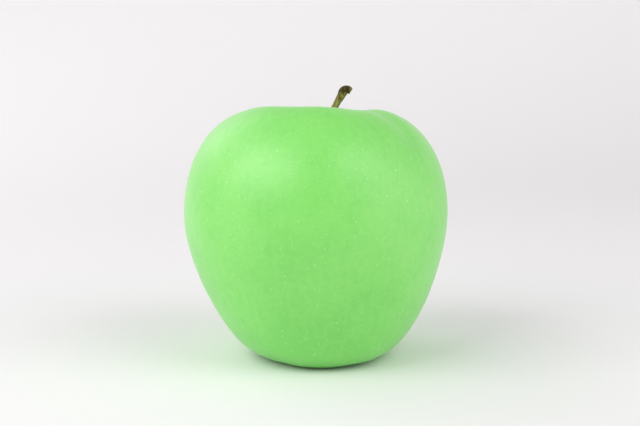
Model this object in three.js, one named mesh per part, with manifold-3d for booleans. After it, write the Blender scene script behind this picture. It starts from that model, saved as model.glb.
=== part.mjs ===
import * as THREE from "three";
import { mergeVertices } from "three/addons/utils/BufferGeometryUtils.js";
import Module from "manifold-3d";

// A green apple in millimetres, +Z up, resting on Z = 0. Its front faces -Y, and directions round it
// are angles from -Y towards +X.

// Half outline of the fruit, before its lobes
const FRUIT_RADIUS = 40;
const WIDEST_HEIGHT = 44.1;
const CREST_RADIUS = 18.5;
const CREST_HEIGHT = 75.3;
const FOOT_RADIUS = 15.2;
const CREST_REACH = 6.9;
const SHOULDER_RISE = 23.5;
const FLANK_DROP = 13.6;
const FOOT_REACH = 13.1;
const CAVITY_DEPTH = 14;
const CAVITY_FLOOR_RADIUS = 4;
const CAVITY_BRIM_RADIUS = 9.25;
const BASIN_DEPTH = 8.5;
const BASIN_FLOOR_RADIUS = 5;
const BASIN_BRIM_RADIUS = 9.1;
const OUTLINE_STEPS = 52;
const ROUND_STEPS = 72;

// The five lobes: direction in degrees and strength, then how far they lift the crest and swell the
// body at its foot and its shoulder, and the furrows between them that run into the basin
const LOBES = [
  [7, 1.02],
  [75, 0.94],
  [150, 0.98],
  [232, 0.98],
  [314, 0.94],
];
const LOBE_SHARPNESS = 7;
const CREST_LIFT = 0.3;
const CREST_WIDTH = 11;
const FOOT_SWELL = 0.1;
const SHOULDER_SWELL = 0.4;
const SWELL_HEIGHTS = [20, 60];
const FURROW_DEPTH = 0.6;
const FURROW_RADIUS = 12;
const FURROW_WIDTH = 7;

// What makes it uneven: one side of the crest is higher, and the body leans to -X above its foot
const CREST_TILT = 1.55;
const CREST_TILT_DIRECTION = -15;
const LEAN = 1.6;
const LEAN_HEIGHT = 45;

// How much of the lowest five spots is pressed flat
const FOOT_FLAT = 0.3;

// Stem: its centre line above the middle of the cavity's floor, its radius, and the knob on its end
const STEM_ROUTE = [
  [0.6, 0, 0],
  [1.4, 0, 4.5],
  [3.6, 0, 9.9],
  [6.2, 0, 14.8],
  [8.1, -0.1, 18.3],
  [9.5, -0.3, 19.8],
  [11, -0.6, 20.1],
];
const STEM_RADIUS = 1;
const STEM_KNOB_RADIUS = 1.38;
const STEM_KNOB_START = 0.79;
const STEM_KNOB_FULL = 0.93;
const STEM_END_ROUND = 0.45;
const STEM_BURIED = 4;
const STEM_SIDES = 20;
const STEM_STEPS = 32;
const STEM_RIDGES = 5;
const STEM_RIDGE_HEIGHT = 0.07;

// Calyx: sepals, and dry stamens in a ring, round a short tube that is sunk in the basin's floor. Each
// sepal's curl differs from the last one's by a turn of SEPAL_VARIETY radians in a cycle.
const SEPALS = 5;
const SEPAL_LENGTH = 7.5;
const SEPAL_WIDTH = 3.6;
const SEPAL_THICKNESS = 0.75;
const SEPAL_CUP = 0.5;
const SEPAL_RING = 1.6;
const SEPAL_START_ANGLE = -15;
const SEPAL_END_ANGLE = 110;
const SEPAL_SPREAD = 15;
const SEPAL_TIP = 0.5;
const SEPAL_VARIETY = 2.4;
const SEPAL_GRID = [4, 9];
const STAMENS = 10;
const STAMEN_RING = 1;
const STAMEN_RADIUS = 0.32;
const STAMEN_LENGTH = 2.6;
const STAMEN_SIDES = 6;
const CALYX_RADIUS = 2.4;
const CALYX_BURIED = 3;
const CALYX_SIDES = 30;

// Clearance between two pieces, how far a socket's cutter stands clear of the flesh, and how close two
// corners are to be one
const GAP = 0.3;
const CUTTER_REACH = 1;
const WELD = 0.001;

const SKIN_COLOUR = 0x86dc6c;
const STEM_COLOUR = 0x7d7f45;
const CALYX_COLOUR = 0x5d5030;

const wasm = await Module();
wasm.setup();

const { degToRad, lerp, smoothstep } = THREE.MathUtils;
const UP = new THREE.Vector3(0, 0, 1);
const BACK = new THREE.Vector3(0, 1, 0);

function solidOf(geometry) {
  const bare = geometry.clone();
  bare.deleteAttribute("normal");
  bare.deleteAttribute("uv");
  const merged = mergeVertices(bare, WELD);
  return new wasm.Manifold(
    new wasm.Mesh({
      numProp: 3,
      vertProperties: merged.attributes.position.array,
      triVerts: new Uint32Array(merged.index.array),
    }),
  );
}

function meshOf(name, solid, material) {
  const { vertProperties, triVerts } = solid.getMesh();
  const geometry = new THREE.BufferGeometry();
  geometry.setAttribute("position", new THREE.Float32BufferAttribute(vertProperties, 3));
  geometry.setIndex(Array.from(triVerts));
  geometry.computeVertexNormals();
  const mesh = new THREE.Mesh(geometry, new THREE.MeshStandardMaterial({ metalness: 0, ...material }));
  mesh.name = name;
  return mesh;
}

// Puts each vertex of a geometry where place(vertex) moves it
function reshape(geometry, place) {
  const position = geometry.attributes.position;
  const vertex = new THREE.Vector3();
  for (let i = 0; i < position.count; i += 1) {
    vertex.fromBufferAttribute(position, i);
    place(vertex);
    position.setXYZ(i, vertex.x, vertex.y, vertex.z);
  }
  return geometry;
}

// +1 on a lobe of strength 1, and -1 in the valleys between lobes
function lobeWave(angle) {
  const valley = 2 * Math.exp(LOBE_SHARPNESS * (Math.cos(Math.PI / LOBES.length) - 1));
  let sum = 0;
  for (const [direction, strength] of LOBES) {
    sum += strength * Math.exp(LOBE_SHARPNESS * (Math.cos(angle - degToRad(direction)) - 1));
  }
  return (2 * (sum - valley)) / (1 - valley) - 1;
}

// From the basin's floor out over the foot, up the flank, over the crest and down into the cavity
function fruitOutline() {
  const top = CREST_HEIGHT;
  const widest = WIDEST_HEIGHT;
  const floor = top - CAVITY_DEPTH;
  const path = new THREE.Path();
  path.moveTo(0, BASIN_DEPTH);
  path.bezierCurveTo(BASIN_FLOOR_RADIUS, BASIN_DEPTH, BASIN_BRIM_RADIUS, 0, FOOT_RADIUS, 0);
  path.bezierCurveTo(
    FOOT_RADIUS + FOOT_REACH,
    0,
    FRUIT_RADIUS,
    widest - FLANK_DROP,
    FRUIT_RADIUS,
    widest,
  );
  path.bezierCurveTo(
    FRUIT_RADIUS,
    widest + SHOULDER_RISE,
    CREST_RADIUS + CREST_REACH,
    top,
    CREST_RADIUS,
    top,
  );
  path.bezierCurveTo(CAVITY_BRIM_RADIUS, top, CAVITY_FLOOR_RADIUS, floor, 0, floor);
  return path.getSpacedPoints(OUTLINE_STEPS);
}

function bell(distance, width) {
  return Math.exp(-((distance / width) ** 2));
}

function leanAt(height) {
  return -LEAN * smoothstep(height, 0, LEAN_HEIGHT);
}

function swellAt(height) {
  return lerp(FOOT_SWELL, SHOULDER_SWELL, smoothstep(height, ...SWELL_HEIGHTS));
}

// The lathe turns about Y, so its Y is the fruit's height
function fruitBody() {
  return reshape(new THREE.LatheGeometry(fruitOutline(), ROUND_STEPS), (v) => {
    const height = v.y;
    const radius = Math.hypot(v.x, v.z);
    const angle = Math.atan2(v.x, v.z);
    const wave = lobeWave(angle);
    const top = height > WIDEST_HEIGHT;
    const crest = top ? bell(radius - CREST_RADIUS, CREST_WIDTH) : 0;
    const furrow = top ? 0 : bell(radius - FURROW_RADIUS, FURROW_WIDTH);
    const out = radius * (1 + (swellAt(height) * wave) / FRUIT_RADIUS);
    const tilt = CREST_TILT * Math.cos(angle - degToRad(CREST_TILT_DIRECTION));
    const rise = crest * (CREST_LIFT * wave + tilt) + furrow * FURROW_DEPTH * (1 - wave);
    v.set(
      out * Math.sin(angle) + leanAt(height),
      -out * Math.cos(angle),
      height + rise - FOOT_FLAT,
    );
  });
}

// A closed rod round a curve, whose radius follows its distance along and its angle round
function rodAlong(curve, steps, sides, radiusAt) {
  return reshape(new THREE.CylinderGeometry(1, 1, 1, sides, steps), (v) => {
    const along = v.y + 0.5;
    const angle = Math.atan2(v.x, v.z);
    const radius = Math.hypot(v.x, v.z) * radiusAt(along, angle);
    const ahead = curve.getTangentAt(along);
    const across = new THREE.Vector3().crossVectors(BACK, ahead).normalize();
    const beside = new THREE.Vector3().crossVectors(across, ahead);
    v.copy(curve.getPointAt(along));
    v.addScaledVector(across, radius * Math.sin(angle));
    v.addScaledVector(beside, radius * Math.cos(angle));
  });
}

// The middle of the cavity's floor
function cavityFloor() {
  return new THREE.Vector3(leanAt(CREST_HEIGHT), 0, CREST_HEIGHT - CAVITY_DEPTH - FOOT_FLAT);
}

// The stem's centre line, from its foot in the flesh to its cut end
function stemCurve() {
  const points = STEM_ROUTE.map((point) => new THREE.Vector3(...point).add(cavityFloor()));
  points.unshift(points[0].clone().addScaledVector(UP, -STEM_BURIED));
  return new THREE.CatmullRomCurve3(points, false, "centripetal");
}

function stemRadius(along, angle) {
  const knob = smoothstep(along, STEM_KNOB_START, STEM_KNOB_FULL);
  const ridge = STEM_RIDGE_HEIGHT * Math.cos(STEM_RIDGES * angle);
  const rounded = Math.sqrt(1 - STEM_END_ROUND * smoothstep(along, STEM_KNOB_FULL, 1));
  return (lerp(STEM_RADIUS, STEM_KNOB_RADIUS, knob) + ridge) * rounded;
}

// The close hole that the stem's foot sits in, from just below the foot to just above the floor
function stemSocket() {
  const foot = cavityFloor().addScaledVector(UP, -STEM_BURIED - GAP);
  foot.x += STEM_ROUTE[0][0];
  const mouth = new THREE.Vector3(...STEM_ROUTE[0]).add(cavityFloor()).addScaledVector(UP, CUTTER_REACH);
  const radius = STEM_RADIUS + STEM_RIDGE_HEIGHT + GAP;
  return rodAlong(new THREE.LineCurve3(foot, mouth), 1, STEM_SIDES, () => radius);
}

// The short tube under the sepals: a plug in the flesh, and a rim that the sepals stand on
function calyxTube(radius, height) {
  const tube = new THREE.CylinderGeometry(radius, radius, height, CALYX_SIDES);
  tube.rotateX(Math.PI / 2);
  return tube.translate(0, 0, BASIN_DEPTH - FOOT_FLAT + CALYX_BURIED - height / 2);
}

// One sepal hangs from the tube and curls outwards, cupped along its length
function sepal(index) {
  const start = degToRad(SEPAL_START_ANGLE);
  const turn = degToRad(SEPAL_END_ANGLE + SEPAL_SPREAD * Math.sin(SEPAL_VARIETY * index)) - start;
  const blade = reshape(new THREE.BoxGeometry(1, 1, 1, ...SEPAL_GRID, 1), (v) => {
    const along = v.y + 0.5;
    const across = v.x * SEPAL_WIDTH * (1 - along ** 2) + v.x * SEPAL_TIP;
    const through = v.z * SEPAL_THICKNESS + SEPAL_CUP * (2 * v.x) ** 2;
    const lean = start + turn * along;
    const reach = (SEPAL_LENGTH / turn) * (Math.cos(start) - Math.cos(lean));
    const drop = (SEPAL_LENGTH / turn) * (Math.sin(lean) - Math.sin(start));
    v.set(
      across,
      -(SEPAL_RING + reach - through * Math.cos(lean)),
      BASIN_DEPTH - FOOT_FLAT - drop - through * Math.sin(lean),
    );
  });
  return blade.rotateZ((2 * Math.PI * index) / SEPALS);
}

function stamen(index) {
  const peg = new THREE.CylinderGeometry(STAMEN_RADIUS, STAMEN_RADIUS, STAMEN_LENGTH, STAMEN_SIDES);
  peg.rotateX(Math.PI / 2);
  peg.translate(0, 0, BASIN_DEPTH - FOOT_FLAT - STAMEN_LENGTH / 2 + STAMEN_RADIUS);
  peg.translate(0, -STAMEN_RING, 0);
  return peg.rotateZ((2 * Math.PI * (index + 0.5)) / STAMENS);
}

function calyxSocket() {
  const depth = CALYX_BURIED + GAP;
  return calyxTube(CALYX_RADIUS + GAP, depth + CUTTER_REACH).translate(0, 0, GAP);
}

// Room under the surface that the apple stands on, which presses its feet flat
function underfoot() {
  const side = 4 * FRUIT_RADIUS;
  return new THREE.BoxGeometry(side, side, side).translate(0, 0, -side / 2);
}

function fruitSolid() {
  return solidOf(fruitBody())
    .subtract(solidOf(underfoot()))
    .subtract(solidOf(stemSocket()))
    .subtract(solidOf(calyxSocket()));
}

function calyxSolid() {
  let calyx = solidOf(calyxTube(CALYX_RADIUS, CALYX_BURIED));
  for (let i = 0; i < SEPALS; i += 1) calyx = calyx.add(solidOf(sepal(i)));
  for (let i = 0; i < STAMENS; i += 1) calyx = calyx.add(solidOf(stamen(i)));
  return calyx;
}

// The apple stands over the origin, with its box centred there
function build() {
  const stem = rodAlong(stemCurve(), STEM_STEPS, STEM_SIDES, stemRadius);
  const apple = new THREE.Group();
  apple.add(
    meshOf("fruit", fruitSolid(), { color: SKIN_COLOUR, roughness: 0.45 }),
    meshOf("stem", solidOf(stem), { color: STEM_COLOUR, roughness: 0.8 }),
    meshOf("calyx", calyxSolid(), { color: CALYX_COLOUR, roughness: 0.9 }),
  );
  const middle = new THREE.Box3().setFromObject(apple).getCenter(new THREE.Vector3());
  apple.position.set(-middle.x, -middle.y, 0);
  return apple;
}

export default build();
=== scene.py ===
"""A green apple on a pale stage.

The frame gives the apple's solids: fruit, stem and calyx. Each operator models one of them anew
with finer shapes and a full material, and the last one builds the stage. Lengths are in metres.
"""

import math
import random

import bmesh
import bpy
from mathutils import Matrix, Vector
from mathutils.geometry import interpolate_bezier


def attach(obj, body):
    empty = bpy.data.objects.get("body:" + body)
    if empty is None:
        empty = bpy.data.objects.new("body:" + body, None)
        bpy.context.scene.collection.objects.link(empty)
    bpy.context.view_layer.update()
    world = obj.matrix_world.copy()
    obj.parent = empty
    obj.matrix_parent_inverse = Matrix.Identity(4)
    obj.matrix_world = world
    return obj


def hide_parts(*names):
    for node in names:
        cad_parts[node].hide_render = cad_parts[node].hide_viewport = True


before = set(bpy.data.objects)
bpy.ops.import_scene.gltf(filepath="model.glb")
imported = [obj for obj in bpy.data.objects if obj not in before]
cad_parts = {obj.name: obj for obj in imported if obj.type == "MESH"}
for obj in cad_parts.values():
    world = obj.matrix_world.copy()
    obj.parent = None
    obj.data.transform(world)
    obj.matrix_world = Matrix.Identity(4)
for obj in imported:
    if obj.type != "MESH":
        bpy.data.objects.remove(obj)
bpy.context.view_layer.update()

MM = 0.001
UP = Vector((0, 0, 1))

bl_info = {
    "name": "Green Apple",
    "version": (1, 0, 0),
    "blender": (4, 5, 0),
    "location": "3D View > Sidebar > Apple",
    "description": "Models a green apple with its stem and calyx, and a pale stage for it",
    "category": "Add Mesh",
}


def paint(code):
    """The linear RGBA of a colour that is written as sRGB hex."""
    channels = [int(code[i:i + 2], 16) / 255 for i in (1, 3, 5)]
    linear = [c / 12.92 if c <= 0.04045 else ((c + 0.055) / 1.055) ** 2.4 for c in channels]
    return (*linear, 1.0)


def length(name, text, millimetres):
    """A property that holds a real length, in metres."""
    return bpy.props.FloatProperty(
        name=name, description=text, default=millimetres * MM, unit="LENGTH", precision=5
    )


def colour(name, text, code):
    """A property that holds a colour."""
    return bpy.props.FloatVectorProperty(
        name=name, description=text, default=paint(code), subtype="COLOR", size=4, min=0, max=1
    )


def amount(name, text, value):
    """A property that holds a share or a plain number."""
    return bpy.props.FloatProperty(name=name, description=text, default=value, precision=4)


class FruitSettings(bpy.types.PropertyGroup):
    """Sizes and colours of the fruit."""

    core_x: length("Core X", "Where the core stands at the foot, from the middle", 1.34)
    core_y: length("Core Y", "Where the core stands at the foot, from the middle", 0.39)
    radius: length("Radius", "From the core to the widest part of the flank", 40)
    widest: length("Widest at", "Height of the widest part", 43.8)
    crest_radius: length("Crest radius", "From the core to the top of the shoulders", 18.5)
    crest_height: length("Crest height", "Height of the shoulders", 75)
    crest_reach: length("Crest reach", "How far the crest runs out before it turns down", 6.9)
    shoulder_rise: length("Shoulder rise", "How far the flank rises before it turns in", 23.5)
    foot_radius: length("Foot radius", "From the core to the lowest ring", 15.2)
    foot_reach: length("Foot reach", "How far the foot runs out before it turns up", 13.1)
    flank_drop: length("Flank drop", "How far the flank drops before it turns in", 13.6)
    cavity_depth: length("Cavity depth", "From the shoulders down to the stem's foot", 14)
    basin_depth: length("Basin depth", "From the lowest ring up to the calyx", 8.2)
    lean: length("Lean", "How far the body leans to the left above its foot", 1.6)
    crease_depth: length("Crease depth", "Depth of the valley between the two right-hand lobes", 0.45)
    crease_width: length("Crease width", "From the middle of that valley to its edge", 5.5)
    crease_side: bpy.props.FloatProperty(
        name="Crease side",
        description="Direction from the core in which the valley runs",
        default=math.radians(-35),
        subtype="ANGLE",
    )
    sag: length("Sag", "How far the front of the foot bulges down", 0.9)
    gap: length("Gap", "How far the foot between its two front lobes is off the floor", 0.5)
    green: colour("Green", "Most of the skin", "#81df61")
    yellow: colour("Yellow green", "Paler patches and streaks", "#8ce369")
    # The deep green is also the colour that the painted shade low down on the fruit darkens towards
    deep: colour("Deep green", "Darker patches", "#76d757")
    dots: colour("Dots", "The pale breathing pores", "#b0efa0")
    russet: colour("Russet", "The corky skin round the stem's foot", "#a8964e")


class StemSettings(bpy.types.PropertyGroup):
    """Sizes and colours of the stem."""

    radius: length("Radius", "Radius of the stem's shank", 1)
    elbow: length("Elbow", "Radius of the swelling where the stem bends over", 1.38)
    neck: length("Neck", "Radius between the elbow and the lip", 1.1)
    lip: length("Lip", "Radius of the lip round the cut", 1.1)
    hook: length("Hook", "How far the lip's lower edge hangs down", 0.3)
    ridge: length("Ridge", "How far the lengthwise ridges stand out", 0.1)
    cut_depth: length("Cut depth", "How deep the face of the cut has shrunk", 0.2)
    bark: colour("Bark", "The olive bark of the shank", "#aa9c60")
    furrow: colour("Furrow", "Dark lengthwise furrows", "#624f22")
    tip: colour("Tip", "The dark dry end", "#33270a")
    cut: colour("Cut", "The paler face of the cut", "#8f8c58")


class CalyxSettings(bpy.types.PropertyGroup):
    """Sizes and colours of the calyx."""

    floor: length("Floor", "Height of the basin's floor, where the sepals stand", 8.2)
    sepal_length: length("Sepal length", "Along the curl of one sepal", 7.2)
    sepal_width: length("Sepal width", "Across one sepal at its foot", 3.6)
    sepal_thickness: length("Sepal thickness", "Through one sepal", 0.4)
    ring: length("Ring", "From the middle to the sepals' feet", 1.7)
    cup_radius: length("Cup radius", "Radius of the dry cup under the sepals", 2.4)
    stamen_length: length("Stamen length", "Along one dry stamen", 3.4)
    sepals: bpy.props.IntProperty(name="Sepals", description="How many sepals", default=5)
    stamens: bpy.props.IntProperty(name="Stamens", description="How many dry stamens", default=14)
    dry: colour("Dry brown", "Most of the sepals", "#75633f")
    tip: colour("Tip", "The dark dry tips", "#3a2c1a")


class StageSettings(bpy.types.PropertyGroup):
    """The sweep, the lights and the camera."""

    paper: colour("Paper", "The pale sweep that the apple stands on", "#f4f2f3")
    front_paper: colour("Front paper", "The greyer wall in front of the apple", "#a4a4a4")
    camera_back: length("Camera distance", "From the middle to the camera, along the floor", 349.6)
    camera_up: length("Camera height", "From the floor to the camera", 94)
    camera_side: length("Camera side", "How far the camera is right of the middle", 1.34)
    pitch: amount("Pitch", "How far the camera looks down, in degrees", 8.2)
    lens: amount("Lens", "Focal length on a 36 mm wide sensor, in millimetres", 65.57)
    exposure: amount("Exposure", "Brightness of the whole picture, in stops", -0.06)
    world: amount("World", "Strength of the light from all round", 0.41)
    left: amount("Left", "Power of the large soft light at the front left, in watts", 4.1)
    right: amount("Right", "Power of the large soft light at the front right, in watts", 2.33)
    low: amount("Low", "Power of the low soft light at the right, in watts", 0.74)
    rim: amount("Rim", "Power of the soft light at the back left, in watts", 1.06)
    under: amount("Under", "Power of the small light in the basin underneath, in watts", 0.0009)
    back_left: amount("Backdrop left", "Power of the light on the backdrop's left, in watts", 1.5)
    back_right: amount("Backdrop right", "Power of the light on the backdrop's right, in watts", 0.8)
    back_middle: amount("Backdrop middle", "Power of the light on its middle, in watts", 1.4)


def start(add, name, **where):
    """Adds a primitive with nothing else selected, names it and opens it for editing."""
    bpy.ops.object.select_all(action="DESELECT")
    add(**where)
    piece = bpy.context.active_object
    piece.name = piece.data.name = name
    bpy.ops.object.transform_apply(location=True, rotation=True, scale=True)
    bpy.ops.object.mode_set(mode="EDIT")
    bpy.ops.mesh.select_mode(type="VERT")
    bpy.ops.mesh.select_all(action="SELECT")
    return piece


def pick(piece, wanted):
    """Selects the vertices for which wanted(place) is true, in edit mode."""
    mesh = bmesh.from_edit_mesh(piece.data)
    for vertex in mesh.verts:
        vertex.select_set(bool(wanted(vertex.co)))
    mesh.select_flush_mode()
    bmesh.update_edit_mesh(piece.data)


def draw(points):
    """Extrudes what is selected from point to point."""
    for before, after in zip(points, points[1:]):
        bpy.ops.mesh.extrude_region_move(TRANSFORM_OT_translate={"value": after - before})


def turn(angle, axis, centre):
    """Turns what is selected, right-handed about an axis through a point."""
    bpy.ops.transform.rotate(value=-angle, orient_axis=axis, center_override=centre)


def move_softly(value, fade):
    """Moves what is selected, and what lies round it less and less, out to a distance."""
    bpy.ops.transform.translate(
        value=value,
        use_proportional_edit=True,
        proportional_edit_falloff="SMOOTH",
        proportional_size=fade,
    )


def face_out(inside=False):
    """Makes all faces of the edited mesh point out of it, or into it."""
    bpy.ops.mesh.select_all(action="SELECT")
    bpy.ops.mesh.normals_make_consistent(inside=inside)


def spin_round(steps, centre):
    """Spins the whole of an outline into a closed body of revolution."""
    bpy.ops.mesh.select_all(action="SELECT")
    bpy.ops.mesh.spin(steps=steps, angle=2 * math.pi, center=centre, axis=UP)
    bpy.ops.mesh.select_all(action="SELECT")
    bpy.ops.mesh.remove_doubles(threshold=0.01 * MM)


def modify(piece, kind, **settings):
    """Adds a modifier and applies it."""
    modifier = piece.modifiers.new(kind.title(), kind)
    for name, value in settings.items():
        setattr(modifier, name, value)
    bpy.context.view_layer.objects.active = piece
    bpy.ops.object.modifier_apply(modifier=modifier.name)


def settle(piece, material, solid):
    """Finishes a piece: smooth, in its material, on its body, in place of its solid."""
    bpy.ops.object.select_all(action="DESELECT")
    piece.select_set(True)
    bpy.context.view_layer.objects.active = piece
    bpy.ops.object.shade_smooth()
    piece.data.materials.clear()
    piece.data.materials.append(material)
    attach(piece, "root")
    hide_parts(solid)


def smooth_course(points, steps):
    """Points along a smooth curve through the given ones."""
    ends = [points[0], *points, points[-1]]
    course = [points[0]]
    for a, b, c, d in zip(ends, ends[1:], ends[2:], ends[3:]):
        course += interpolate_bezier(b, b + (c - a) / 6, c - (d - b) / 6, c, steps + 1)[1:]
    return course


def node(tree, kind, inputs=None, stops=None, **settings):
    """Adds a node to a material, with its settings, its ramp's stops and its values or links."""
    made = tree.nodes.new(kind)
    for name, value in settings.items():
        setattr(made, name, value)
    if stops:
        ramp = made.color_ramp.elements
        ramp[0].position, ramp[0].color = stops[0]
        ramp[1].position, ramp[1].color = stops[-1]
        for place, shade in stops[1:-1]:
            ramp.new(place).color = shade
    for name, value in (inputs or {}).items():
        if isinstance(value, bpy.types.NodeSocket):
            tree.links.new(value, made.inputs[name])
        else:
            made.inputs[name].default_value = value
    return made


def blank(name, **constants):
    """A new material: its tree, its shader with the given constants, and places on it in mm."""
    material = bpy.data.materials.new(name)
    material.use_nodes = True
    tree = material.node_tree
    shader = tree.nodes["Principled BSDF"]
    for socket, value in constants.items():
        shader.inputs[socket.replace("_", " ")].default_value = value
    place = node(tree, "ShaderNodeTexCoord").outputs["Object"]
    in_mm = node(tree, "ShaderNodeMapping", {"Vector": place, "Scale": (1000, 1000, 1000)})
    return material, tree, shader, in_mm.outputs[0]


def apple_skin(look):
    """Apple skin: a thin film of natural wax, dull as picked, over a layer of green cells.

    The wax gives a broad soft sheen and no sharp reflection. The cells under it give a yellow green
    that shifts in faint streaks and patches, and the pores are pale dots in it. Low down the green is
    darkened by painted shade.
    """
    material, tree, shader, in_mm = blank(
        "waxy_apple_skin",
        Roughness=0.5,
        IOR=1.5,
        Coat_Weight=0.9,
        Coat_Roughness=0.4,
        Sheen_Weight=0.05,
        Sheen_Roughness=0.5,
    )
    height = node(tree, "ShaderNodeSeparateXYZ", {"Vector": in_mm}).outputs["Z"]
    flat = node(tree, "ShaderNodeMapping", {"Vector": in_mm, "Scale": (1, 1, 0)}).outputs[0]
    reach = node(tree, "ShaderNodeVectorMath", {0: flat}, operation="LENGTH").outputs["Value"]
    round_it = node(tree, "ShaderNodeVectorMath", {0: flat}, operation="NORMALIZE").outputs[0]

    # Streaks run from the stem to the calyx, about 2 mm apart on the flank. Patches are about
    # 16 mm across and mottling about 2 mm
    along = node(tree, "ShaderNodeMapping", {"Vector": in_mm, "Scale": (0, 0, 0.012)}).outputs[0]
    course = node(tree, "ShaderNodeVectorMath", {0: round_it, 1: along}).outputs[0]
    streak = node(tree, "ShaderNodeTexNoise", {"Vector": course, "Scale": 18, "Detail": 4})
    patch = node(tree, "ShaderNodeTexNoise", {"Vector": in_mm, "Scale": 0.06, "Detail": 3})
    mottle = node(tree, "ShaderNodeTexNoise", {"Vector": in_mm, "Scale": 0.5, "Detail": 4})
    broad = node(tree, "ShaderNodeMix", {0: 0.3, 2: patch.outputs[0], 3: streak.outputs[0]})
    blend = node(tree, "ShaderNodeMix", {0: 0.32, 2: broad.outputs[0], 3: mottle.outputs[0]})
    # Painted shade: the green darkens from half height down to 8 mm above the foot
    low = node(tree, "ShaderNodeMapRange", {0: height, 1: 38, 2: 8, 3: 0, 4: -0.16}).outputs[0]
    blend = node(tree, "ShaderNodeMath", {0: blend.outputs[0], 1: low}, operation="ADD")
    stops = [(0.32, look.deep), (0.5, look.green), (0.68, look.yellow)]
    skin = node(tree, "ShaderNodeValToRGB", {0: blend.outputs[0]}, stops).outputs[0]

    # Pores: soft pale dots of uneven strength, some 1 mm across and the rest smaller and closer.
    # The smallest real ones are 0.2 mm, too fine to show, so none is drawn under 0.6 mm
    dots = 0
    for spacing, radius, strength in ((3.2, 0.5, 0.95), (1.9, 0.4, 0.75), (1.1, 0.3, 0.6)):
        cells = node(tree, "ShaderNodeTexVoronoi", {"Vector": in_mm, "Scale": 1 / spacing}).outputs
        spot = node(
            tree,
            "ShaderNodeMapRange",
            {0: cells["Distance"], 1: 0, 2: radius / spacing, 3: strength, 4: 0},
            interpolation_type="SMOOTHSTEP",
        ).outputs[0]
        uneven = {0: spot, 1: cells["Color"]}
        spot = node(tree, "ShaderNodeMath", uneven, operation="MULTIPLY").outputs[0]
        dots = node(tree, "ShaderNodeMath", {0: dots, 1: spot}, operation="MAXIMUM").outputs[0]
    dotted = node(tree, "ShaderNodeMix", {0: dots, 6: skin, 7: look.dots}, data_type="RGBA")

    # Russet: a ragged corky star on the floor of the stem's cavity, out to 5 to 8 mm from the
    # stem, and only above 50 mm, so that the basin has none
    ragged = node(tree, "ShaderNodeTexNoise", {"Vector": course, "Scale": 5, "Detail": 5}).outputs[0]
    edge = node(tree, "ShaderNodeMath", {0: ragged, 1: -12, 2: reach}, operation="MULTIPLY_ADD")
    corky = node(
        tree,
        "ShaderNodeMapRange",
        {0: edge.outputs[0], 1: -2.5, 2: 1.5, 3: 0.75, 4: 0},
        interpolation_type="SMOOTHSTEP",
    )
    upper = node(tree, "ShaderNodeMapRange", {0: height, 1: 50, 2: 58})
    corky = node(
        tree, "ShaderNodeMath", {0: corky.outputs[0], 1: upper.outputs[0]}, operation="MULTIPLY"
    )
    painted = node(
        tree,
        "ShaderNodeMix",
        {0: corky.outputs[0], 6: dotted.outputs[2], 7: look.russet},
        data_type="RGBA",
    )
    tree.links.new(painted.outputs[2], shader.inputs["Base Color"])

    # The pores stand 0.006 mm proud, and the wax is uneven over about 0.6 mm
    fine = node(tree, "ShaderNodeTexNoise", {"Vector": in_mm, "Scale": 1.6, "Detail": 3}).outputs[0]
    relief = node(tree, "ShaderNodeMath", {0: dots, 1: 0.5, 2: fine}, operation="MULTIPLY_ADD")
    bump = node(
        tree,
        "ShaderNodeBump",
        {"Height": relief.outputs[0], "Strength": 0.1, "Distance": 0.06 * MM},
    )
    tree.links.new(bump.outputs[0], shader.inputs["Normal"])
    return material


def stem_bark(look):
    """Apple stalk: thin green bark that shrank round the wood as it dried.

    It looks dull, almost without sheen, olive with dark lengthwise furrows, and turns nearly black
    brown towards the end that dried first.
    """
    material, tree, shader, in_mm = blank("dry_stem_bark", Roughness=0.75, Specular_IOR_Level=0.2)

    # Furrows are about 0.5 mm apart and run 3 mm and more along the stem
    drawn = {"Vector": in_mm, "Scale": (2.2, 2.2, 0.3)}
    drawn_out = node(tree, "ShaderNodeMapping", drawn).outputs[0]
    rough = {"Vector": drawn_out, "Scale": 1, "Detail": 5}
    grain = node(tree, "ShaderNodeTexNoise", rough).outputs[0]
    stops = [(0.4, look.furrow), (0.58, look.bark)]
    bark = node(tree, "ShaderNodeValToRGB", {0: grain}, stops).outputs[0]
    place = node(tree, "ShaderNodeSeparateXYZ", {"Vector": in_mm}).outputs

    # The bark darkens over its last 2 mm of rise, and the cut's face is paler again: the axis,
    # where the change starts and ends on it in mm, how strong it gets, and its colour
    shade = bark
    for axis, first, last, share, shade_there in (
        ("Z", 78.9, 80.7, 0.85, look.tip),
        ("X", 9.9, 10.7, 0.7, look.cut),
    ):
        spread = node(
            tree,
            "ShaderNodeMapRange",
            {0: place[axis], 1: first, 2: last, 3: 0, 4: share},
            interpolation_type="SMOOTHSTEP",
        ).outputs[0]
        both = {0: spread, 6: shade, 7: shade_there}
        shade = node(tree, "ShaderNodeMix", both, data_type="RGBA").outputs[2]
    tree.links.new(shade, shader.inputs["Base Color"])
    bump = node(tree, "ShaderNodeBump", {"Height": grain, "Strength": 0.5, "Distance": 0.1 * MM})
    tree.links.new(bump.outputs[0], shader.inputs["Normal"])
    return material


def dry_sepal(look):
    """Withered sepal: a small green leaf of the flower that dried on the fruit.

    It looks matt and papery, brown with darker blotches about 1 mm across, and its down gives it
    a faint pale edge.
    """
    material, tree, shader, in_mm = blank("withered_sepal", Roughness=0.85, Sheen_Weight=0.3)
    grain = node(tree, "ShaderNodeTexNoise", {"Vector": in_mm, "Scale": 1.3, "Detail": 5}).outputs[0]
    stops = [(0.35, look.tip), (0.6, look.dry)]
    shade = node(tree, "ShaderNodeValToRGB", {0: grain}, stops).outputs[0]
    tree.links.new(shade, shader.inputs["Base Color"])
    bump = node(tree, "ShaderNodeBump", {"Height": grain, "Strength": 0.5, "Distance": 0.1 * MM})
    tree.links.new(bump.outputs[0], shader.inputs["Normal"])
    return material


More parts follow.
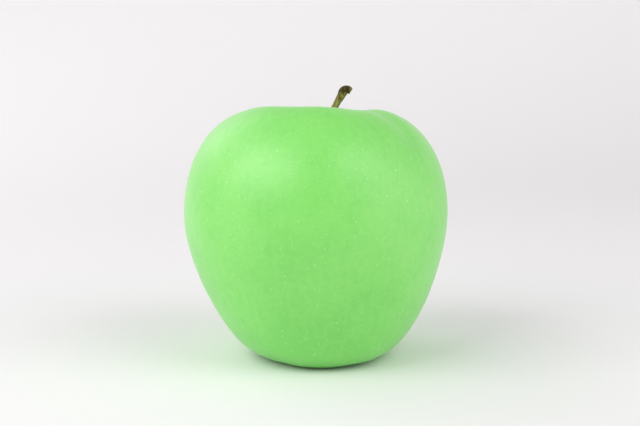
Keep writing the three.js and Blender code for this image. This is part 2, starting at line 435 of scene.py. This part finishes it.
def seamless_paper(look):
    """Background paper: uncoated, so matt, white under and behind the apple.

    It turns light grey on the wall in front, behind the camera, which keeps the floor under the
    apple's front dark. From outside it can be seen through, so that no view is blocked.
    """
    material, tree, shader, in_mm = blank("seamless_paper", Roughness=0.9, Specular_IOR_Level=0.2)
    depth = node(tree, "ShaderNodeSeparateXYZ", {"Vector": in_mm}).outputs["Y"]
    # The paper greys between 350 and 800 mm in front of the apple
    front = node(
        tree,
        "ShaderNodeMapRange",
        {0: depth, 1: -350, 2: -800},
        interpolation_type="SMOOTHSTEP",
    ).outputs[0]
    papers = {0: front, 6: look.paper, 7: look.front_paper}
    paper = node(tree, "ShaderNodeMix", papers, data_type="RGBA").outputs[2]
    tree.links.new(paper, shader.inputs["Base Color"])
    behind = node(tree, "ShaderNodeNewGeometry").outputs["Backfacing"]
    clear = node(tree, "ShaderNodeBsdfTransparent").outputs[0]
    both = node(tree, "ShaderNodeMixShader", {0: behind, 1: shader.outputs[0], 2: clear})
    tree.links.new(both.outputs[0], tree.nodes["Material Output"].inputs["Surface"])
    return material


class FruitMaker(bpy.types.Operator):
    """Spin the fruit's outline, fit it to the frame's fruit, crease its shoulder and set its feet"""

    bl_idname = "apple.fruit"
    bl_label = "Fruit"

    SEGMENTS = 88
    # The body leans more and more up to this height
    LEAN_FROM = 45 * MM
    # The valley on the shoulder: its start and end from the core, its half width and least height
    VALLEY = (20 * MM, 31 * MM, 0.7 * MM, 60 * MM)
    # Arcs of the foot, seen from the core: inner and outer reach in mm, first and last direction
    # in degrees, and the distance in mm over which a move of the arc fades out
    LOWER_FRONT = (22.5, 25.5, -105, -55, 10)
    BETWEEN_FEET = (13, 20, -150, -60, 10)
    FRONT_FOOT = (11.5, 14.5, -105, -72, 3)
    LEFT_FOOT = (11.5, 14.5, -175, -148, 3)
    FOOT_HEIGHT = 7 * MM

    def outline(self, look):
        """From the stem's foot over the crest and down the flank to the calyx, in four curves."""
        crest, top = look.crest_radius, look.crest_height
        wide, widest = look.radius, look.widest
        foot, floor = look.foot_radius, top - look.cavity_depth
        basin = look.basin_depth
        # Each curve: its start, two handles, its end and how many steps it takes
        cavity = ((0, floor), (4 * MM, floor), (crest / 2, top), (crest, top), 14)
        shoulder = (
            (crest, top),
            (crest + look.crest_reach, top),
            (wide, widest + look.shoulder_rise),
            (wide, widest),
            18,
        )
        flank = (
            (wide, widest),
            (wide, widest - look.flank_drop),
            (foot + look.foot_reach, 0),
            (foot, 0),
            20,
        )
        base = ((foot, 0), (0.6 * foot, 0), (5 * MM, basin), (0, basin), 12)
        points = []
        for *corners, steps in (cavity, shoulder, flank, base):
            run = interpolate_bezier(*[Vector((x, 0, z)) for x, z in corners], steps + 1)
            points += run[1:] if points else run
        return points

    def crease(self, fruit, look, core):
        """Sinks a narrow valley between two lobes, from the crest down the shoulder."""
        side = Vector((math.cos(look.crease_side), math.sin(look.crease_side), 0))
        inner, outer, half_width, least_height = self.VALLEY

        def along(place):
            reach = (place - core).dot(side)
            off = (place - core).cross(side).z
            return place.z > least_height and inner < reach < outer and abs(off) < half_width

        bpy.ops.object.mode_set(mode="EDIT")
        bpy.ops.mesh.select_mode(type="VERT")
        pick(fruit, along)
        move_softly(look.crease_depth * (-0.5 * side - 0.85 * UP), look.crease_width)
        bpy.ops.object.mode_set(mode="OBJECT")

    def move_arc(self, fruit, core, arc, rise):
        """Moves one arc of the foot up or down, fading out round it."""
        inner, outer, first, last, fade = arc

        def in_arc(place):
            away = place - core
            side = math.degrees(math.atan2(away.y, away.x))
            reach = math.hypot(away.x, away.y) / MM
            return place.z < self.FOOT_HEIGHT and inner < reach < outer and first < side < last

        pick(fruit, in_arc)
        move_softly(rise * UP, fade * MM)

    def shape_foot(self, fruit, look, core):
        """Sags the lower front, lifts the foot between its lobes and sets two feet back down.

        A low wedge is left between the fruit and the floor, which is what goes dark at the front.
        """
        bpy.ops.object.mode_set(mode="EDIT")
        self.move_arc(fruit, core, self.LOWER_FRONT, -look.sag)
        self.move_arc(fruit, core, self.BETWEEN_FEET, look.gap)
        self.move_arc(fruit, core, self.FRONT_FOOT, -look.gap)
        self.move_arc(fruit, core, self.LEFT_FOOT, -2 * look.gap)
        pick(fruit, lambda place: place.z < 0)
        bpy.ops.transform.resize(value=(1, 1, 0), center_override=(0, 0, 0))
        bpy.ops.object.mode_set(mode="OBJECT")

    def fit(self, fruit, smoothing):
        """Draws the skin onto the frame's fruit and evens out the solid's flat faces."""
        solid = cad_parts["fruit"]
        modify(fruit, "SHRINKWRAP", target=solid, wrap_method="NEAREST_SURFACEPOINT")
        modify(fruit, "SMOOTH", factor=0.5, iterations=smoothing)

    def execute(self, context):
        look = context.scene.apple_fruit
        core = Vector((look.core_x, look.core_y, 0))
        points = [point + core for point in self.outline(look)]
        fruit = start(bpy.ops.mesh.primitive_plane_add, "apple_skin", size=MM, location=points[0])
        bpy.ops.mesh.merge(type="CENTER")
        draw(points)
        spin_round(self.SEGMENTS, core)
        face_out()
        pick(fruit, lambda place: place.z > self.LEAN_FROM)
        move_softly(Vector((-look.lean, 0, 0)), self.LEAN_FROM)
        bpy.ops.object.mode_set(mode="OBJECT")
        self.fit(fruit, 1)
        modify(fruit, "SUBSURF", levels=1, render_levels=1)
        self.fit(fruit, 4)
        self.crease(fruit, look, core)
        self.shape_foot(fruit, look, core)
        modify(fruit, "SUBSURF", levels=1, render_levels=1)
        settle(fruit, apple_skin(look), "fruit")
        return {"FINISHED"}


class StemMaker(bpy.types.Operator):
    """Draw a ridged ring along the stem's course, swell its elbow, round its lip and hollow the cut"""

    bl_idname = "apple.stem"
    bl_label = "Stem"

    # The centre line from the foot in the flesh to the lip round the cut, in mm
    COURSE = (
        (0.34, 0.39, 57.4),
        (0.4, 0.39, 61),
        (1.14, 0.39, 65.5),
        (3.2, 0.39, 70.9),
        (5.8, 0.39, 75.8),
        (7.55, 0.3, 78.9),
        (8.4, 0.2, 80.45),
        (9.5, 0, 81),
        (10.2, -0.2, 80.58),
    )
    STEPS = 4
    SIDES = 24
    # The sides that stand out as ridges
    RIDGES = {0, 1, 5, 9, 10, 15, 19, 20}
    # How far the rounded end goes on past the lip, in mm, and how much it closes in
    END = ((0.32, 0.84), (0.16, 0.68))
    # What lies right of and under these is the lip's lower edge, which hangs this way
    LOWER_LIP = (10 * MM, 80 * MM)
    HANG = Vector((0.6, 0, -0.8))

    def girths(self, look):
        """The radius at each place of the course: flared at the foot, swollen at the elbow.

        The shank's radii are shares of its normal one, and the last swells towards the elbow.
        """
        shank = [look.radius * share for share in (1.12, 1.02, 1, 0.96, 0.94, 1.18)]
        radii = [Vector((radius, 0, 0)) for radius in (*shank, look.elbow, look.neck, look.lip)]
        return [place.x for place in smooth_course(radii, self.STEPS)]

    def on_ridge(self, place, centre):
        """Whether a place on the first ring belongs to a ridge."""
        side = math.atan2(place.y - centre.y, place.x - centre.x) / (2 * math.pi) * self.SIDES
        return round(side) % self.SIDES in self.RIDGES

    def execute(self, context):
        look = context.scene.apple_stem
        course = smooth_course([Vector(place) * MM for place in self.COURSE], self.STEPS)
        girths = self.girths(look)
        stem = start(
            bpy.ops.mesh.primitive_circle_add,
            "apple_stem",
            vertices=self.SIDES,
            radius=girths[0],
            fill_type="NGON",
            location=course[0],
        )
        pick(stem, lambda place: self.on_ridge(place, course[0]))
        swell = 1 + look.ridge / look.radius
        bpy.ops.transform.resize(value=(swell, swell, 1), center_override=course[0])
        bpy.ops.mesh.select_all(action="SELECT")
        last = len(course) - 1
        heading = UP
        for i, (before, after) in enumerate(zip(course, course[1:]), 1):
            draw([before, after])
            ahead = (course[min(i + 1, last)] - course[i - 1]).normalized()
            turn(math.atan2(ahead.x, ahead.z) - math.atan2(heading.x, heading.z), "Y", after)
            grow = girths[i] / girths[i - 1]
            bpy.ops.transform.resize(value=(grow, grow, grow), center_override=after)
            heading = ahead
        place = course[-1]
        for reach, grow in self.END:
            draw([place, place + reach * MM * heading])
            place = place + reach * MM * heading
            bpy.ops.transform.resize(value=(grow, grow, grow), center_override=place)
        bpy.ops.mesh.inset(thickness=look.lip / 6)
        bpy.ops.transform.translate(value=-look.cut_depth * heading)
        bpy.ops.mesh.inset(thickness=look.lip / 4)
        bpy.ops.mesh.poke()
        left, top = self.LOWER_LIP
        pick(stem, lambda place: place.x > left and place.z < top)
        bpy.ops.transform.translate(value=look.hook * self.HANG)
        face_out()
        bpy.ops.object.mode_set(mode="OBJECT")
        modify(stem, "SUBSURF", levels=2, render_levels=2)
        settle(stem, stem_bark(look), "stem")
        return {"FINISHED"}


class CalyxMaker(bpy.types.Operator):
    """Curl one sepal and one stamen, copy them round a dry cup, and join them"""

    bl_idname = "apple.calyx"
    bl_label = "Calyx"

    def execute(self, context):
        look = context.scene.apple_calyx
        fruit = context.scene.apple_fruit
        centre = Vector((fruit.core_x, fruit.core_y, look.floor))
        chance = random.Random(5)
        pieces = [self.cup(look, centre)]
        # A pattern, how many copies it gets, and how far each may curl more or less, in degrees
        kinds = (
            (self.sepal(look, centre), look.sepals, 14),
            (self.stamen(look, centre), look.stamens, 18),
        )
        stray = 9
        for pattern, count, sway in kinds:
            for i in range(count):
                angle = 2 * math.pi * i / count + math.radians(chance.uniform(-stray, stray))
                curl = math.radians(chance.uniform(-sway, sway))
                pieces.append(self.copy(pattern, centre, angle, curl))
            bpy.data.objects.remove(pattern)
        bpy.ops.object.select_all(action="DESELECT")
        for piece in pieces:
            piece.select_set(True)
        context.view_layer.objects.active = pieces[0]
        bpy.ops.object.join()
        settle(pieces[0], dry_sepal(look), "calyx")
        return {"FINISHED"}

    def copy(self, pattern, centre, angle, curl):
        """One copy with its own mesh, curled about its foot and turned round the core."""
        bpy.ops.object.select_all(action="DESELECT")
        pattern.select_set(True)
        bpy.context.view_layer.objects.active = pattern
        bpy.ops.object.duplicate(linked=False)
        piece = bpy.context.active_object
        foot = Vector((centre.x, max(v.co.y for v in piece.data.vertices), centre.z))
        bpy.ops.object.mode_set(mode="EDIT")
        bpy.ops.mesh.select_all(action="SELECT")
        turn(curl, "X", foot)
        turn(angle, "Z", centre)
        bpy.ops.object.mode_set(mode="OBJECT")
        return piece

    def cup(self, look, centre):
        """The short dry tube that is sunk in the basin's floor, open below."""
        sunk, wall, lip = 2.8 * MM, 2.2 * MM, 0.7 * MM
        rim, bore = 0.6 * MM, 1.2 * MM
        cup = start(
            bpy.ops.mesh.primitive_circle_add,
            "apple_calyx",
            vertices=32,
            radius=look.cup_radius,
            fill_type="NGON",
            location=centre + sunk * UP,
        )
        draw([centre, centre - wall * UP, centre - (wall + lip) * UP])
        bpy.ops.mesh.inset(thickness=rim)
        draw([centre, centre + bore * UP])
        bpy.ops.mesh.inset(thickness=rim)
        face_out()
        bpy.ops.object.mode_set(mode="OBJECT")
        modify(cup, "SUBSURF", levels=1, render_levels=1)
        return cup

    def sepal(self, look, centre):
        """One sepal at the front, drawn row by row: tapered, cupped, and curled outwards."""
        rows, cuts = 10, 5
        tip_width = 0.12
        hollow = 0.5 * MM
        foot = centre - Vector((0, look.ring, 0))
        sepal = start(
            bpy.ops.mesh.primitive_plane_add, "sepal", size=look.sepal_width, location=foot
        )
        pick(sepal, lambda place: place.y < foot.y)
        bpy.ops.mesh.delete(type="VERT")
        bpy.ops.mesh.select_all(action="SELECT")
        bpy.ops.transform.translate(value=(0, -look.sepal_width / 2, 0))
        bpy.ops.mesh.subdivide(number_cuts=cuts)
        # Only the two edges are lifted, which hollows the sepal lengthwise
        pick(sepal, lambda place: abs(place.x - foot.x) > 0.4 * look.sepal_width)
        bpy.ops.transform.translate(value=(0, hollow, 0))
        bpy.ops.mesh.select_all(action="SELECT")
        start_lean, end_lean = math.radians(-15), math.radians(110)
        lean, place, width = start_lean, foot, 1
        for i in range(1, rows + 1):
            next_lean = start_lean + (end_lean - start_lean) * i / rows
            middle = (lean + next_lean) / 2
            ahead = Vector((0, -math.sin(middle), -math.cos(middle))) * look.sepal_length / rows
            draw([place, place + ahead])
            place = place + ahead
            turn(-(next_lean - lean), "X", place)
            next_width = tip_width + (1 - tip_width) * (1 - (i / rows) ** 2)
            bpy.ops.transform.resize(value=(next_width / width, 1, 1), center_override=place)
            lean, width = next_lean, next_width
        face_out()
        bpy.ops.object.mode_set(mode="OBJECT")
        modify(sepal, "SOLIDIFY", thickness=look.sepal_thickness, offset=0)
        modify(sepal, "SUBSURF", levels=1, render_levels=1)
        return sepal

    def stamen(self, look, centre):
        """One dry stamen at the front of the ring, thin, bent, with a small head."""
        radius, head = 0.16 * MM, 1.8
        bend, steps = 0.08 * MM, 5
        foot = centre - Vector((0, MM, 0))
        stamen = start(
            bpy.ops.mesh.primitive_circle_add,
            "stamen",
            vertices=6,
            radius=radius,
            fill_type="NGON",
            location=foot,
        )
        place = foot
        for i in range(steps):
            ahead = Vector((0, -bend * i, -look.stamen_length / steps))
            draw([place, place + ahead])
            place = place + ahead
        bpy.ops.transform.resize(value=(head, head, 1), center_override=place)
        face_out()
        bpy.ops.object.mode_set(mode="OBJECT")
        return stamen


class StageMaker(bpy.types.Operator):
    """Build the pale sweep, the soft lights and the camera"""

    bl_idname = "apple.stage"
    bl_label = "Stage"

    def sweep(self, look):
        """A floor that rises to a wall all round, in one curve.

        The floor's radius, how far the curve runs out and up from it, and the wall's top.
        """
        floor, cove, wall = 0.45, 0.95, 1.0
        bend = interpolate_bezier(
            Vector((floor, 0, 0)),
            Vector((floor + 0.55 * cove, 0, 0)),
            Vector((floor + cove, 0, 0.45 * cove)),
            Vector((floor + cove, 0, cove)),
            16,
        )
        points = [Vector(), *bend, Vector((floor + cove, 0, wall))]
        sweep = start(bpy.ops.mesh.primitive_plane_add, "sweep", size=0.01, location=(0, 0, 0))
        bpy.ops.mesh.merge(type="CENTER")
        draw(points)
        spin_round(96, (0, 0, 0))
        face_out(inside=True)
        bpy.ops.object.mode_set(mode="OBJECT")
        bpy.ops.object.shade_smooth()
        sweep.data.materials.append(seamless_paper(look))

    def soft_light(
        self, name, place, size, power, target=(0, 0, 0.04), spread=180, shape="RECTANGLE"
    ):
        """A large panel that faces the middle of the apple, or another target."""
        facing = (Vector(target) - Vector(place)).to_track_quat("-Z", "Y").to_euler()
        bpy.ops.object.light_add(type="AREA", location=place, rotation=facing)
        light = bpy.context.active_object
        light.name = light.data.name = name
        light.data.shape = shape
        light.data.size, light.data.size_y = size
        light.data.energy = power
        light.data.spread = math.radians(spread)
        light.visible_camera = False

    def light_apple(self, look):
        """Two large panels in front, a low one, one at the back left, and a faint one underneath."""
        self.soft_light("soft_left", (-0.52, -0.38, 0.51), (0.7, 0.6), look.left)
        self.soft_light("soft_right", (0.51, -0.37, 0.53), (0.6, 0.55), look.right)
        self.soft_light("soft_low", (0.75, -0.2, 0.23), (0.7, 0.3), look.low)
        self.soft_light("soft_rim", (-0.51, 0.37, 0.53), (0.6, 0.6), look.rim)
        below, calyx = (look.camera_side, 0, 0.4 * MM), (look.camera_side, 0, 8 * MM)
        disc = (19 * MM, 19 * MM)
        self.soft_light("soft_under", below, disc, look.under, calyx, shape="DISK")

    def light_backdrop(self, look):
        """Three panels above and behind the apple that face the sweep's wall."""
        left, middle, right = (-0.6, 1.25, 0.35), (0, 1.3, 0.45), (0.6, 1.3, 0.45)
        self.soft_light("back_left", (-0.6, 0.4, 0.95), (1, 0.5), look.back_left, left, 130)
        self.soft_light("back_middle", (0, 0.4, 1), (1.4, 0.3), look.back_middle, middle, 150)
        self.soft_light("back_right", (0.6, 0.5, 0.9), (1, 0.4), look.back_right, right, 130)

    def execute(self, context):
        look = context.scene.apple_stage
        self.sweep(look)
        self.light_apple(look)
        self.light_backdrop(look)
        world = bpy.data.worlds.new("studio_air")
        world.use_nodes = True
        air = world.node_tree.nodes["Background"]
        air.inputs["Color"].default_value = (1, 1, 1, 1)
        air.inputs["Strength"].default_value = look.world
        context.scene.world = world
        bpy.ops.object.camera_add(
            location=(look.camera_side, -look.camera_back, look.camera_up),
            rotation=(math.radians(90 - look.pitch), 0, 0),
        )
        camera = bpy.context.active_object
        camera.data.lens = look.lens
        camera.data.sensor_width = 36
        context.scene.camera = camera
        context.scene.view_settings.view_transform = "Standard"
        context.scene.view_settings.exposure = look.exposure
        return {"FINISHED"}


class ApplePanel(bpy.types.Panel):
    """The apple's makers"""

    bl_idname = "VIEW3D_PT_apple"
    bl_label = "Apple"
    bl_space_type = "VIEW_3D"
    bl_region_type = "UI"
    bl_category = "Apple"

    def draw(self, context):
        for maker in MAKERS:
            self.layout.operator(maker.bl_idname)


SETTINGS = {
    "apple_fruit": FruitSettings,
    "apple_stem": StemSettings,
    "apple_calyx": CalyxSettings,
    "apple_stage": StageSettings,
}
MAKERS = (StageMaker, FruitMaker, StemMaker, CalyxMaker)


def register():
    for made in (*SETTINGS.values(), *MAKERS, ApplePanel):
        bpy.utils.register_class(made)
    for name, group in SETTINGS.items():
        setattr(bpy.types.Scene, name, bpy.props.PointerProperty(type=group))


def unregister():
    for name in SETTINGS:
        delattr(bpy.types.Scene, name)
    for made in (ApplePanel, *reversed(MAKERS), *reversed(SETTINGS.values())):
        bpy.utils.unregister_class(made)


def main():
    register()
    bpy.ops.apple.stage()
    bpy.ops.apple.fruit()
    bpy.ops.apple.stem()
    bpy.ops.apple.calyx()


if __name__ == "__main__":
    main()
